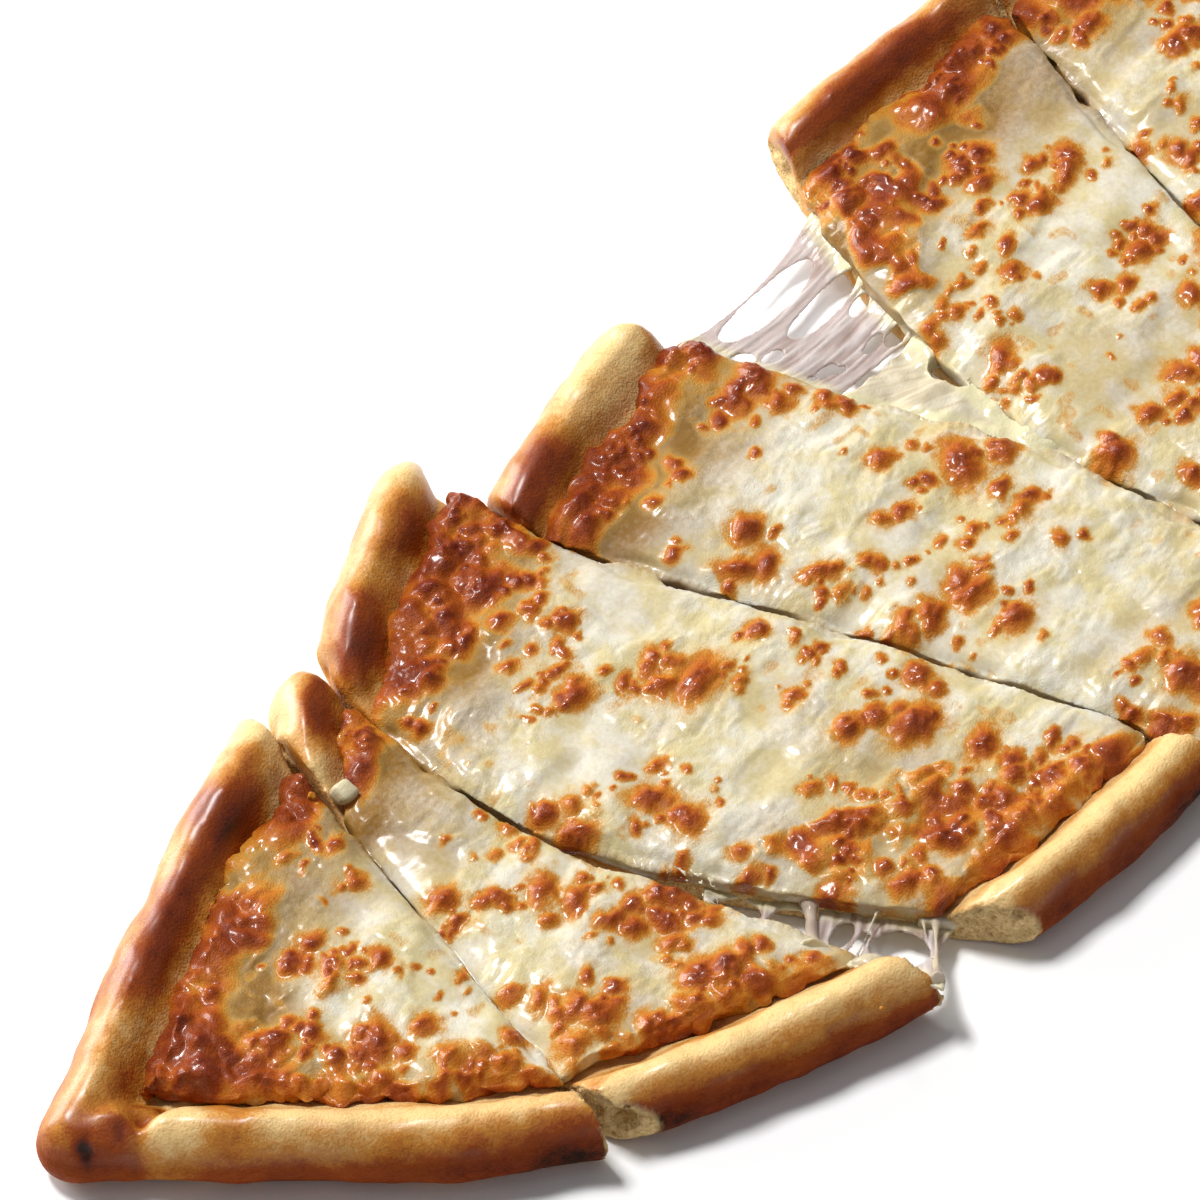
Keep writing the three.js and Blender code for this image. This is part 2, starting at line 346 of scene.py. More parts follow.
class Wire:
    """A number coming out of a shader node. Arithmetic on it adds Math nodes."""

    def __init__(self, finish, socket):
        self.finish = finish
        self.socket = socket

    def _math(self, operation, a, b, clamp=False):
        return self.finish.node("ShaderNodeMath", {"operation": operation, "use_clamp": clamp}, {0: a, 1: b})

    def __add__(self, other):
        return self._math("ADD", self, other)

    def __sub__(self, other):
        return self._math("SUBTRACT", self, other)

    def __rsub__(self, other):
        return self._math("SUBTRACT", other, self)

    def __mul__(self, other):
        return self._math("MULTIPLY", self, other)

    __radd__ = __add__
    __rmul__ = __mul__

    def clamped(self):
        return self._math("ADD", self, 0.0, clamp=True)


class Finish:
    """A procedural material, and the nodes that it is built from."""

    def __init__(self, name, **constants):
        self.material = bpy.data.materials.new(name)
        self.material.use_nodes = True
        self.tree = self.material.node_tree
        self.shader = self.tree.nodes["Principled BSDF"]
        for socket, value in constants.items():
            self.shader.inputs[socket.replace("_", " ")].default_value = value
        self.place = self.node("ShaderNodeTexCoord", output="Object")

    def node(self, kind, settings=None, inputs=None, output=0):
        """Adds a node, sets it up, feeds its inputs from values or wires, and returns one output."""
        made = self.tree.nodes.new(kind)
        for name, value in (settings or {}).items():
            if name == "stops":
                ramp = made.color_ramp
                while len(ramp.elements) < len(value):
                    ramp.elements.new(0.5)
                for element, (position, colour) in zip(ramp.elements, value):
                    element.position = position
                    element.color = (*colour, 1)
            else:
                setattr(made, name, value)
        for name, value in (inputs or {}).items():
            self.feed(made.inputs[name], value)
        return Wire(self, made.outputs[output])

    def feed(self, socket, value):
        if isinstance(value, Wire):
            self.tree.links.new(value.socket, socket)
        elif socket.type == "RGBA":
            socket.default_value = (*value[:3], 1)
        else:
            socket.default_value = value

    def surface(self, **inputs):
        """Feeds the shader's varying inputs."""
        for name, value in inputs.items():
            self.feed(self.shader.inputs[name.replace("_", " ")], value)

    def painted(self, name):
        return self.node("ShaderNodeAttribute", {"attribute_name": name}, output="Fac")

    def grain(self, size, detail=3.0, roughness=0.55):
        """Noise from 0 to 1 with features of that size in millimetres."""
        inputs = {"Vector": self.place, "Scale": 1 / (size * MM), "Detail": detail, "Roughness": roughness}
        return self.node("ShaderNodeTexNoise", inputs=inputs, output="Fac")

    def step(self, value, low, high):
        """0 below low and 1 above high, with a soft step between."""
        settings = {"interpolation_type": "SMOOTHSTEP"}
        inputs = {"Value": value, "From Min": low, "From Max": high}
        return self.node("ShaderNodeMapRange", settings, inputs)

    def ramp(self, value, *stops):
        return self.node("ShaderNodeValToRGB", {"stops": stops}, {"Fac": value}, output="Color")

    def blend(self, factor, first, second):
        """Colours mixed by a factor."""
        settings = {"data_type": "RGBA"}
        return self.node("ShaderNodeMix", settings, {"Factor": factor, 6: first, 7: second}, output=2)

    def bump(self, height, depth, onto=None):
        """A normal with relief of that depth in millimetres."""
        inputs = {"Height": height, "Distance": depth * MM, "Strength": 1.0}
        if onto:
            inputs["Normal"] = onto
        return self.node("ShaderNodeBump", inputs=inputs, output="Normal")


def crust_finish(colours):
    """Egg-washed baked skin, from cream to charred, with pale crumb where it is cut."""
    finish = Finish(
        "baked_crust",
        Coat_Roughness=0.32,
        Specular_IOR_Level=0.05,
        Subsurface_Weight=0.06,
        Subsurface_Radius=(1.0, 0.5, 0.25),
        Subsurface_Scale=0.0015,
    )
    toast = finish.painted("toast")
    mottle = finish.grain(1.6, 4.0, 0.65) - 0.5
    skin_grain = finish.grain(0.42, 2.0, 0.5) - 0.5
    baked = (toast + mottle * 0.34 + skin_grain * 0.24).clamped()
    skin = finish.ramp(
        baked,
        (0.0, colours.cream),
        (0.28, colours.golden),
        (0.52, colours.brown),
        (0.8, colours.dark),
        (1.0, colours.char),
    )
    crumb = finish.painted("crumb")
    airy = finish.ramp(finish.grain(0.9, 4.0, 0.7), (0.26, colours.pore), (0.54, colours.crumb))
    relief = finish.bump(skin_grain, 0.2, finish.bump(mottle + crumb * mottle * 3.0, 0.22))
    finish.surface(
        Base_Color=finish.blend(crumb, skin, airy),
        Roughness=(0.5 + mottle * 0.25 + crumb * 0.4).clamped(),
        Coat_Weight=(finish.painted("gloss") * (0.95 + mottle * 0.9)).clamped(),
        Normal=relief,
    )
    return finish.material


def cheese_finish(colours):
    """Melted cheese: wet cream, a little see-through, browned on its blisters."""
    finish = Finish(
        "melted_cheese",
        Coat_Roughness=0.18,
        Specular_IOR_Level=0.15,
        Subsurface_Weight=0.35,
        Subsurface_Radius=(1.0, 0.75, 0.4),
        Subsurface_Scale=0.0016,
    )
    toast = finish.painted("toast")
    oil = finish.painted("oil")
    crinkle = finish.painted("crinkle")
    broad = finish.grain(6.0, 3.0)
    fine = finish.grain(0.85, 3.0, 0.6) - 0.5
    grit = finish.grain(0.34, 2.0, 0.5) - 0.5
    pale = finish.blend(finish.step(broad, 0.35, 0.65), colours.cream, colours.white)
    # Oil and painted shade both pull the pale cheese towards the oily colour.
    pale = finish.blend((oil + fine * 0.5).clamped(), pale, colours.oily_and_shaded)
    mask = finish.step(toast, 0.04, 0.3)
    wet = finish.step(finish.grain(2.2, 2.0), 0.42, 0.62)
    baked = (toast + (fine * 0.34 + grit * 0.2) * mask).clamped()
    browned = finish.ramp(
        baked,
        (0.08, colours.butter),
        (0.24, colours.golden),
        (0.42, colours.orange),
        (0.64, colours.brown),
        (0.94, colours.char),
    )
    relief = finish.bump(fine * crinkle, 0.08, finish.bump(grit * (crinkle * 0.5 + mask * 0.6), 0.2))
    finish.surface(
        Base_Color=finish.blend(finish.step(baked, 0.03, 0.33), pale, browned),
        Roughness=(0.5 + fine * 0.3).clamped(),
        Coat_Weight=(0.2 + wet * 0.5).clamped(),
        Normal=relief,
    )
    return finish.material


def drawn_finish(colours):
    """Cheese pulled thin: pale, faintly pink, and see-through where it is thinnest."""
    finish = Finish(
        "drawn_cheese",
        Coat_Weight=0.5,
        Coat_Roughness=0.16,
        Specular_IOR_Level=0.2,
        Subsurface_Weight=0.25,
        Subsurface_Radius=(1.0, 0.85, 0.7),
        Subsurface_Scale=0.001,
    )
    body = finish.painted("body")
    streak = finish.painted("streak")
    fine = finish.grain(0.5, 3.0) - 0.5
    film = finish.blend(streak, colours.blush, colours.film)
    finish.surface(
        Base_Color=finish.blend(body, film, colours.cream),
        Roughness=(0.45 + fine * 0.3).clamped(),
        Alpha=(0.5 + body * 0.6 + streak * 0.35).clamped(),
        Normal=finish.bump(fine, 0.12),
    )
    return finish.material


# ---- What a user would change ----


def colour(name, description, code):
    return FloatVectorProperty(
        name=name, description=description, subtype="COLOR", size=3, min=0, max=1, default=linear(code)
    )


def length(name, description, millimetres):
    return FloatProperty(name=name, description=description, unit="LENGTH", min=0, default=millimetres * MM)


class PideCrustSettings(PropertyGroup):
    spacing: length("Mesh spacing", "Distance between the crust's mesh points", 0.75)
    swell: length("Swell", "How far the rim rises and falls along its length", 0.7)
    end_dip: length("End dip", "How far the knife pressed the rim down at a cut", 0.4)
    cream: colour("Cream", "Least baked skin", "e6c284")
    golden: colour("Golden", "Lightly baked skin", "bf7e30")
    brown: colour("Brown", "Well baked skin", "94430d")
    dark: colour("Dark", "Toasted skin", "742c0a")
    char: colour("Char", "Burnt skin", "2c150b")
    crumb: colour("Crumb", "Inside of the bread", "e6c78e")
    pore: colour("Pore", "Shaded pores of the bread", "a06a30")


class PideCheeseSettings(PropertyGroup):
    spacing: length("Mesh spacing", "Distance between the cheese's mesh points, halved on top", 0.7)
    blister_radius: length("Blister radius", "Radius of a common blister", 1.0)
    seed: IntProperty(name="Seed", description="Which random layout of blisters is used", min=0, default=4)
    white: colour("White", "Thickest cheese", "dcd6c4")
    cream: colour("Cream", "Common cheese", "d0c294")
    # The oily colour also stands in for painted shade beside the rims on the camera's left.
    oily_and_shaded: colour("Oily", "Thin cheese that has turned oily", "8f682c")
    butter: colour("Butter", "Around a blister", "cfae6c")
    golden: colour("Golden", "Edge of a blister", "c48c34")
    orange: colour("Orange", "Side of a blister", "bc701c")
    brown: colour("Brown", "Top of a blister", "a44e10")
    char: colour("Char", "Darkest spots", "76290b")


class PideDrawnSettings(PropertyGroup):
    spacing: length("Mesh spacing", "Distance between the drawn cheese's mesh points", 0.25)
    film: colour("Film", "Thin film", "cfc4c0")
    blush: colour("Blush", "Pulled fibres", "b49a90")
    cream: colour("Cream", "Thick ends", "d3cba4")


class PideStageSettings(PropertyGroup):
    lens: FloatProperty(name="Lens", description="Focal length", unit="CAMERA", min=1, default=243.75)
    elevation: FloatProperty(
        name="Elevation",
        description="Camera's angle above the floor",
        subtype="ANGLE",
        default=math.radians(55),
    )
    distance: length("Distance", "From the camera to the middle of the view", 1300)
    floor: colour("Floor", "Colour of the floor", "fcfcfc")


# ---- Crust ----

# Grooves of the pinched end: how deep and how wide they are, and their places in the layout.
FOLDS = [
    (2.6, 1.5, [(-58.5, -96.6), (-61.4, -97.9), (-66, -100.2), (-69.6, -103.7)]),
    (1.5, 2, [(-69.6, -103.7), (-70.2, -107.5), (-69.9, -111.5)]),
    (1.3, 2, [(-65.2, -95.2), (-68.9, -98.6), (-71.2, -101.4)]),
]
# Where the skin is browner, or paler, than elsewhere: place, radius and how much.
BAKED_PATCHES = [
    (-57, -46.5, 6.5, 0.4), (-54.5, -31, 5.5, -0.35), (-72, -96, 4.5, 0.2),
    (-77, -108, 5, 0.04), (-65.2, -105.4, 4.5, -0.2), (-66.4, -98.2, 1.8, -0.35),
    (-3.8, -106.8, 6, 0.15), (-38.5, -31, 6, 0.4), (-47.5, -24.5, 5.5, -0.3),
    (-29.5, 5.5, 7, 0.35), (-34.5, -16, 5, 0.3), (-31.5, 21, 5.5, -0.35),
    (3.5, 45, 6, -0.3), (34, 88, 11, -0.24),
]
CHARRED = [(-72.9, -106, 1.7), (-78, -108.3, 1.2), (-66.8, -99.2, 1)]  # places and radii
HOLLOWS = [(3.6, -99.4, 6.6, 2.7), (31.6, 82, 6, 2.2)]  # holes in the crumb, with their radii
ROUNDED_ENDS = [(-30.8, 21.5, 7.5), (4.5, 46, 4.5), (-46, -19, 3.5)]  # rim ends, with their radii
RIM_CORE = (6.5, 4.5)  # how far in and how high the middle of the rim is
PORES = [(1.5, 4, 0.1, 1.1), (3.2, 5, 0.2, 2)]  # sizes, seeds, how rare and how deep they are
HOLLOW_DEPTH = 3.2
CHAR_DIP = 0.8  # how deep the skin has sunk where it is burnt


def rim_top(inward):
    """Height of the dough at a distance in from the outline."""
    rise = np.sqrt(np.clip(1 - (1 - inward / RIM_CREST) ** 2, 0, 1))
    outer = BELLY_HEIGHT + (RIM_HEIGHT - BELLY_HEIGHT) * rise
    fall = np.clip((inward - RIM_CREST) / (RIM_FOOT - RIM_CREST), 0, 1)
    inner = BASE_HEIGHT + (RIM_HEIGHT - BASE_HEIGHT) * 0.5 * (1 + np.cos(math.pi * fall))
    return np.where(inward < RIM_CREST, outer, inner)


def stretches(places):
    """A list of layout places as straight stretches in the frame's plan."""
    placed = [in_frame(*place)[:2] for place in places]
    return list(zip(placed, placed[1:]))


def leftness(outward):
    """1 beside the rims on the camera's left, and 0 beside those on its right."""
    return ease(0.3, -0.5, outward @ (in_frame(1, 0) - in_frame(0, 0))[:2])


def either(left, on_right, on_left):
    """A value that differs between the rims on the camera's right and those on its left."""
    return on_right + (on_left - on_right) * left


def crust_toast_and_shade(points, normals, inward, left):
    """How baked each point of a crust is, from 0 for cream to 1 for burnt, with painted light and shade added
    to the browning.
    """
    height = points[:, 2]
    patches = layered(points, (1, 17, 11), (0.6, 7, 12))
    side = ease(12.0, 5.5, height) * ease(8.5, 4.5, inward)
    crest = mound(inward - 7.0, 3.2) * ease(7, 11, height)
    flank = ease(9.5, 12.5, inward)
    outer = ease(8, 2, inward)
    foot = ease(1.2, 0.2, height) * ease(3, 0.5, inward)
    # Painted light and shade: on the rims to the camera's right the top is made paler as a painted highlight,
    # and the lower outer side darker, partly real browning and partly painted shade; on the left rims the
    # outer slope is made paler as a painted highlight and the inner flank left less pale as painted shade.
    toast = either(left, 0.36, 0.29) + side * either(left, 0.45, 0.04) - 0.1 * outer * left
    toast += crest * either(left, -0.5, 0.42 * ease(-0.7, 0.4, patches))
    toast += 0.25 * foot - flank * either(left, 0.3, 0.2)
    toast += 0.17 * patches + 0.07 * waves(points, 2.6, 17)
    ragged = 1.2 * waves(points, 5, 15)
    for *place, radius, amount in BAKED_PATCHES:
        toast += amount * mound(away_from(points, place) + ragged, radius)
    under = ease(-0.5, -0.95, normals[:, 2])
    spots = 0.42 + layered(points, (0.4, 9, 13), (0.25, 3, 14))
    return toast * (1 - under) + spots * under


def round_ends(points, cut, inward, outward):
    """Draws some rims' ends in towards their core. Returns where it did, from 0 to 1."""
    rounded = np.zeros(len(points))
    for *place, radius in ROUNDED_ENDS:
        beside = ease(15, 9, away_from(points, place))
        share = np.clip(cut / radius, 0, 1)
        shrink = 0.75 * (1 - np.sqrt(1 - (1 - share) ** 2)) * beside * ease(16, 12, inward)
        points[:, :2] += outward * (shrink * (inward - RIM_CORE[0]))[:, None]
        points[:, 2] += shrink * (RIM_CORE[1] - points[:, 2])
        rounded = np.maximum(rounded, beside)
    return rounded


def shape_crust(piece, plan, settings):
    """Turns the remeshed dough of one slice into a hand-rolled, baked crust."""
    points, normals = read(piece)
    z = points[:, 2]  # stays the points' heights as they move
    inward, outward = plan.inward(points)
    cut = plan.from_cut(points)
    left = leftness(outward)
    for tip in plan.TIPS:  # the rims of both sides look alike where they meet
        left += (0.5 - left) * ease(38, 24, away_from(points, tip))
    height = z.copy()
    face = ease(1.1, 0.3, cut) * ease(0.75, 0.45, np.abs(normals[:, 2]))
    rim = ease(15, 11, inward)

    free = ease(0.3, 3, height) * (1 - face)
    swell = layered(points, (1, 15, 1), (0.6, 6.5, 2), (0.3, 3.4, 7))
    skin = 0.10 * waves(points, 2.6, 3)
    points += normals * (free * (settings.swell / MM * swell * rim + skin))[:, None]
    z -= settings.end_dip / MM * mound(cut, 1.6) * rim * ease(5, 12, height)
    z -= plan.droop(points)
    rounded = round_ends(points, cut, inward, outward)

    # On the left the slices touch, and skin covers the upper part of their cuts.
    skinned = left * ease(5.5, 2.5, rim_top(inward) - height)
    crumb = face * (1 - np.maximum(skinned, rounded))
    pores = sum(deep * np.maximum(0, waves(points, size, seed) - rare) for size, seed, rare, deep in PORES)
    points -= normals * (crumb * pores * ease(0.6, 2, height))[:, None]
    # Cut faces under skin are painted a little browner: partly browned skin, partly painted shade in the
    # narrow gaps between the slices.
    toast = crust_toast_and_shade(points, normals, inward, left) + 0.12 * face * (1 - crumb)
    for *place, radius in HOLLOWS:
        off = points - in_frame(*place)
        behind = np.sum(off * normals, axis=1)
        reach = np.linalg.norm(off - normals * behind[:, None], axis=1) + 0.3 * waves(points, 1.6, 16)
        reach = np.where(np.abs(behind) < 4, reach, radius)
        points -= normals * (crumb * HOLLOW_DEPTH * ease(radius, radius * 0.35, reach))[:, None]

    top = ease(2, 7, z)
    for depth, wide, places in FOLDS:
        seam, _ = nearest_on(stretches(places), points)
        z -= depth * mound(seam, wide) * top
        # The grooves are painted browner: partly real browning, partly painted shade in the creases.
        toast += 0.09 * depth * mound(seam, wide * 0.6) * top
    for *place, radius in CHARRED:
        reach = away_from(points, place) + 0.6 * waves(points, 1.4, 6)
        toast += (0.5 * mound(reach, radius) + 0.1 * mound(reach, radius * 3)) * ease(5, 8, height)
        z -= CHAR_DIP * mound(reach, radius * 0.8) * top
    z[:] = np.maximum(z, 0)
    write(piece, points)
    gloss = ease(either(left, 8.5, 4.5), either(left, 12.5, 10), height) * (1 - crumb)
    paint(piece, toast=toast, crumb=crumb, gloss=gloss)


# ---- Cheese ----

CHEESE_GRAIN = 51  # degrees from the layout's first axis to the way the cheese was drawn
CHEESE_CORNER = (-60.2, -94.5)  # where the first slice's cheese comes to a point
# Where the cheese is thinner and browner, or paler, than elsewhere: place, radius and how much.
THIN_PLACES = [
    (51.5, -45.6, 12, 0.8), (45, 76, 10, 0.8), (46.5, 66, 6, 0.8), (50.5, 57, 5, 0.8),
    (36, -53, 7, 0.9), (27, -52, 5, 0.5), (59, 93, 8, 0.5), (-5, -91, 7, -1.3), (6, 24, 12, 0.5),
    (-25, -10, 12, 0.6), (-16, 5, 7, 0.8), (-57, -89, 9, 0.7), (-44, -92, 8, 0.6),
    (-40, -81, 5, -0.6), (22, -80, 9, 0.9),
]
BLISTER_AREA = 38  # square millimetres of cheese to each cluster of blisters
BLISTER_SPREAD = (2.8, 1.5)  # how far a cluster reaches, along the grain and across it
FIRST_BLISTER = 1.35  # how much larger than the others a cluster's first one is
BROWNEST = 0.68
DOME_HEIGHT = 0.52  # of a blister with a radius of one millimetre


def along_grain(points):
    """Places measured along and across the way in which the cheese was drawn as it was laid on."""
    turn = math.radians(CHEESE_GRAIN)
    first = in_frame(math.cos(turn), math.sin(turn)) - in_frame(0, 0)
    second = in_frame(-math.sin(turn), math.cos(turn)) - in_frame(0, 0)
    return np.stack([points @ first, points @ second, points[:, 2]], axis=1)


def blisters(grained, top, crowding, rng, settings):
    """The blisters of a layer: places on the grain, radii, stretches, turns and how browned they are."""
    share = crowding[top] / crowding[top].sum()
    area = len(top) * (settings.spacing / MM / 2) ** 2
    for heart in rng.choice(top, size=int(area / BLISTER_AREA), replace=False, p=share):
        members = 1 + rng.poisson(0.5 + 1.3 * crowding[heart])
        burnt = rng.normal(0, 0.08)
        for member in range(members):
            place = grained[heart, :2] + rng.normal(0, 1, 2) * BLISTER_SPREAD * (member > 0)
            size = settings.blister_radius / MM * float(np.clip(rng.lognormal(-0.15, 0.5), 0.4, 2.4))
            size *= 1.0 if member else FIRST_BLISTER
            stretch = 1 + 0.8 * rng.random() ** 2
            browned = 0.27 + burnt + 0.14 * size + 0.12 * rng.random() + 0.06 * (crowding[heart] > 1)
            yield place, size, stretch, rng.normal(0, 0.5), min(browned, BROWNEST)


def shape_cheese(piece, plan, number, settings):
    """Turns the remeshed cheese of one slice into a melted, blistered layer."""
    points, normals = read(piece)
    z = points[:, 2]  # stays the points' heights as they move
    inward, outward = plan.inward(points)
    cut = plan.from_cut(points)
    rng = np.random.default_rng(settings.seed * 100 + number)

    # The layer runs out over the foot of the rim in rounded lobes, part of the way up its side.
    edge = ease(15.5, 12.0, inward)
    lobes = 1.5 * waves(points, 10, 22) + 2.6 * np.abs(waves(points, 5.5, 23)) - 1.0
    corner = ease(1, 7, away_from(points, CHEESE_CORNER))
    reach = edge * corner * ease(0, 3, cut) * (lobes + 1.3 * np.abs(waves(points, 2.6, 30)))
    points[:, :2] += outward * reach[:, None]
    upper = ease(0.1, 0.7, normals[:, 2]) * ease(14, 11.6, inward - reach)
    z += upper * np.maximum(0, rim_top(inward - reach) + 0.15 - z)
    z -= 0.9 * ease(7.2, 6.0, z)

    # It lies in soft swells, crinkled along its grain, and smooth where it is thick and oily.
    grained = along_grain(points)
    flow = grained.copy()
    flow[:, :2] += 1.2 * wander(grained, 5, 26)
    smooth = ease(-0.05, 0.35, waves(grained, (12, 7, 9), 39))
    melt = layered(grained, (0.6, (13, 9, 9), 24), (0.5, (6, 4, 6), 25)) - 0.3 * smooth
    creases = 0.3 * np.abs(waves(flow, (4.6, 2.4, 4), 28)) + 0.24 * np.abs(waves(flow, (1.8, 1.3, 4), 29))

    # Beside the rim it has browned into rounded lumps.
    left = ease(44, 15, plan.from_left(points))
    thin = sum(amount * mound(away_from(points, place), radius) for *place, radius, amount in THIN_PLACES)
    width = inward + 3.4 * waves(points, 10, 35) + 1.8 * waves(points, 4, 41) - 4.0 * left - 5 * thin
    browning = ease(19.5, 13.0, width) * ease(-1.1, -0.2, waves(points, 19, 42))
    browning = np.maximum(browning, ease(0.4, 0.75, thin + 0.3 * waves(points, 3.5, 53)))
    rounds = np.abs(waves(points, 5.4, 31)) + 0.55 * np.abs(waves(points, 2.5, 32))
    inner = ease(0, 2.6, inward - inward.min())
    lumps = browning * inner * (1.9 * rounds - 0.1 + 0.15 * waves(points, 0.9, 43))

    # Blisters are soft domes whose outlines are pulled out of round.
    warp = wander(grained, 1.9, 33) + 0.45 * wander(grained, 0.9, 44)
    warped = grained[:, :2] + 0.6 * warp
    dome, toast = np.zeros(len(points)), np.zeros(len(points))
    top = np.flatnonzero((normals[:, 2] > 0.9) & (inward > 12.6) & (cut > 0.9))
    crowding = 0.12 + ease(0.4, -0.35, waves(points, 12, 21)) + 0.6 * ease(23, 14, inward)
    for place, size, stretch, turn, browned in blisters(grained, top, crowding, rng, settings):
        near = np.flatnonzero(np.abs(warped - place).max(axis=1) < size * stretch * 2.8)
        off = warped[near] - place
        first = off[:, 0] * math.cos(turn) + off[:, 1] * math.sin(turn)
        second = off[:, 1] * math.cos(turn) - off[:, 0] * math.sin(turn)
        out = np.hypot(first / (size * stretch), second / size)
        dome[near] = np.maximum(dome[near], DOME_HEIGHT * size**0.9 * ease(1.1, 0.0, out))
        browned = browned + 0.2 * (left + thin)[near]
        spread = browned * ease(1.5, -0.1, out) + 0.18 * ease(2.7, 1.0, out)
        toast[near] = np.maximum(toast[near], spread)
    dome *= inner * (1 + 0.3 * waves(points, 0.8, 46))
    baked_rim = 0.3 + 0.46 * waves(points, 6.5, 36) + 0.3 * waves(points, 2.8, 37) + 0.42 * rounds
    baked_rim += 0.24 * left + 0.12 * thin
    toast = np.maximum(toast, browning * np.minimum(baked_rim, 0.84))
    freckles = ease(0.25, 0.65, waves(points, 2.3, 50)) * ease(-0.1, 0.3, waves(points, 9, 51))
    toast = np.maximum(toast + 0.12 * waves(points, 2.6, 52) * ease(0.05, 0.2, toast), 0.2 * freckles)

    lift = ease(0.25, 0.75, normals[:, 2])
    relief = melt + creases * (1 - 0.8 * smooth) * (1 - browning) + lumps + dome
    z += lift * relief - 0.6 * (1 - inner)
    z -= 0.8 * mound(cut, 1.4) * ease(6.5, 9, z) + plan.droop(points)
    side = ease(0.9, 0.2, cut) * ease(0.7, 0.3, np.abs(normals[:, 2]))
    sag = 0.25 + 0.45 * waves(points, (4, 4, 9), 38)
    points += normals * (side * sag)[:, None]
    points[:, :2] += plan.fray(points, 1.4)
    z[:] = np.maximum(z, BASE_HEIGHT - 1)
    write(piece, points)
    # Oily tint: thin oily cheese, and beside the rims on the camera's left partly painted shade.
    oily_and_shaded = (0.4 * ease(20, 13, inward) + 0.85 * left) * (1 + 0.5 * waves(points, 7, 47))
    oily_and_shaded += 0.8 * thin + 0.1 * smooth + 0.3 * side + 0.2 * ease(0, 0.6, waves(points, 14, 49))
    paint(piece, toast=toast, oil=oily_and_shaded, crinkle=1 - 0.6 * smooth * ease(0.3, 0.1, toast))


# ---- Drawn cheese ----

SHEET_OVERLAP = 0.09  # how far a sheet runs on over each slice, as a share of its length
SHEET_STEP = 0.22  # spacing of its grid
# A sheet hangs between two lines of places in the layout. Its holes are centre, half length, half
# width and turn in degrees. Its grain is the turn of its pulled fibres.
WEB = {
    "name": "stretched_web",
    "nodes": ["cheese_web"],
    "seed": 51,
    "near": [(13.6, 45.8, 7.8), (38.6, 34.6, 7.6)],
    "far": [(34.6, 74.6, 5), (42.4, 61, 4.6), (50.6, 48.4, 4.6)],
    "sag": 2.6,
    "waist": 0.1,
    "thickness": 0.6,
    "relief": 0.11,
    "grain": 51,
    "holes": [
        (27.2, 56.2, 11.6, 2.5, 51), (36.4, 56, 8.4, 2, 51), (42.5, 56.1, 2.3, 0.9, 51),
        (44.6, 48.6, 2.3, 0.7, 51), (48.4, 49.8, 2.2, 1.1, 51), (23.3, 43, 1.9, 1.1, 25),
        (28.1, 44.2, 2.3, 0.9, 51), (36.9, 42, 2.2, 0.8, 51), (39, 42.7, 1.2, 0.4, 51),
        (34.6, 39.6, 0.7, 0.4, 51),
    ],
}
FILM = {
    "name": "torn_film",
    "nodes": [f"cheese_strand_{i}" for i in range(1, 5)],
    "seed": 91,
    "near": [
        (16, -62.7, 7), (24, -66.4, 7), (31, -70, 7),
        (38, -73.4, 7.4), (46, -76.6, 9), (53, -79, 9.6),
    ],
    "far": [
        (16, -57.8, 4), (23, -58.8, 3), (31, -60.2, 3),
        (38, -61.4, 3), (46, -62.8, 3), (55, -64.2, 3),
    ],
    "sag": 0.5,
    "waist": 0,
    "thickness": 0.7,
    "relief": 0.16,
    "grain": 82,
    "holes": [
        (18.4, -60.9, 0.9, 0.5, 80), (21.6, -62.2, 3.1, 2.9, 90), (29, -64.6, 3.9, 2.9, 65),
        (33.4, -62.2, 1.6, 0.5, 85), (37.3, -66.8, 3.4, 1.3, 70), (40, -69.2, 3.6, 0.8, 65),
        (46.4, -70, 4.6, 4, 150), (54.6, -71.5, 6, 2, 80),
    ],
}
BRIDGE = {
    "name": "melted_bridge",
    "nodes": ["cheese_bridge"],
    "seed": 61,
    "near": [(39, 34.6, 5.4), (50, 30.8, 6), (63, 27, 6.8), (72, 22.8, 6)],
    "far": [(50.4, 47.6, 4.4), (57.6, 40.6, 6.2), (66, 31, 6.8), (74, 25.2, 6)],
    "sag": 0.4,
    "waist": 0,
    "thickness": 2.4,
    "relief": 0.9,
    "grain": 20,
    "holes": [(56.6, 40.8, 3.6, 2, 130)],
}

# The necks between the second and third slices: both ends, then the radii at the ends and the waist.
NECKS = [
    ((32.6, -59.4, 4.6), (32.8, -71.4, 7.4), 2.6, 1),
    ((52, -63.2, 5), (51.8, -78.6, 11), 1.3, 0.4),
    ((49.9, -63.2, 5), (51.6, -78.2, 10.8), 0.7, 0.16),
    ((43.4, -61.8, 6), (38.8, -74, 7.6), 0.7, 0.2),
]
# Lumps of cheese as centres, half sizes along the layout's axes and height.
STRING_LUMPS = [
    (41.6, -73.6, 7.6, 2.6, 1.6, 1.4),
    (52.4, -64.2, 4, 3.6, 0.8, 2),
]
STRING_RELIEF = 0.14
TUBE_SIDES = 14
LUMP_RINGS, LUMP_SIDES = 10, 16
HAIRS = 9
HAIR_SPAN = ((10.6, -56.6), (17.6, -59))  # where the fine hairs leave the third slice


def body_from(name, parts):
    """One object that holds every part's surface. A part is (points in millimetres, faces)."""
    points, faces = [], []
    for part_points, part_faces in parts:
        faces += [tuple(i + len(points) for i in face) for face in part_faces]
        points += [tuple(np.asarray(point) * MM) for point in part_points]
    mesh = bpy.data.meshes.new(name)
    mesh.from_pydata(points, [], faces)
    return add_object(name, mesh)


def ring(centre, first, second, sides):
    """Places around a centre, out to the ends of two half axes."""
    turns = 2 * math.pi * np.arange(sides)[:, None] / sides
    return centre + np.cos(turns) * first + np.sin(turns) * second


